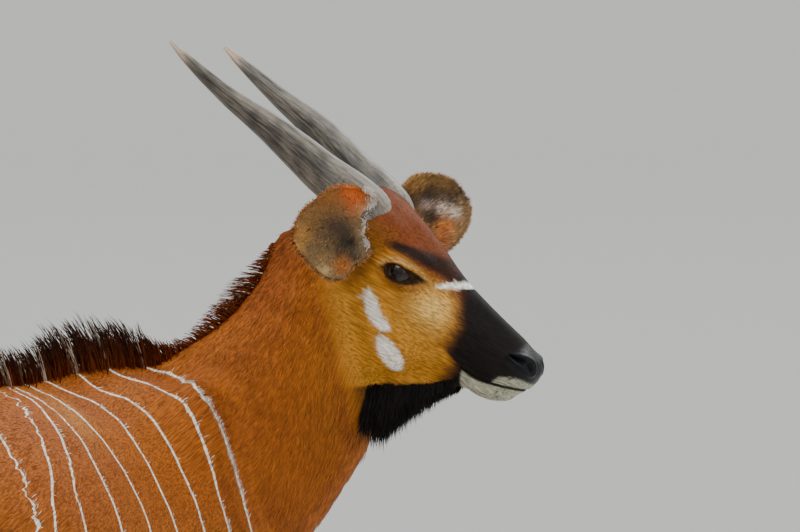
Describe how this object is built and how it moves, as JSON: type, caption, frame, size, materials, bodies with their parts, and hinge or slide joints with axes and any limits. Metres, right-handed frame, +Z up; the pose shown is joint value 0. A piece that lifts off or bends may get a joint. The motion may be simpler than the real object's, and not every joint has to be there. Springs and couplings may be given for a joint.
{
  "type": "bongo antelope",
  "caption": "Life-size standing bongo antelope cow, head turned to its right, with ribbed horns, upright mane along neck and back, and cloven hooves.",
  "frame": {"origin": "on the floor, under the middle of the whole animal's box", "axes": "+X from rump to chest, +Y to the animal's left, +Z up"},
  "size_m": [1.7118, 0.726, 1.6295],
  "materials": {
    "coat": "short chestnut hair over hide, with thin white stripes, a black muzzle and throat and a dark mane",
    "horn": "grey-brown horn, finely ribbed along its length, pale at the tips",
    "hoof": "dark hoof horn",
    "eye": "wet, very dark brown eye"
  },
  "bodies": {
    "root": {"ear_left": "coat", "ear_right": "coat", "eye_left": "eye", "eye_right": "eye", "head": "coat", "hoof_front_left_inner": "hoof", "hoof_front_left_outer": "hoof", "hoof_front_right_inner": "hoof", "hoof_front_right_outer": "hoof", "hoof_hind_left_inner": "hoof", "hoof_hind_left_outer": "hoof", "hoof_hind_right_inner": "hoof", "hoof_hind_right_outer": "hoof", "horn_left": "horn", "horn_right": "horn", "leg_front_left": "coat", "leg_front_right": "coat", "leg_hind_left": "coat", "leg_hind_right": "coat", "neck": "coat", "tail": "coat", "torso": "coat"}
  },
  "joints": []
}
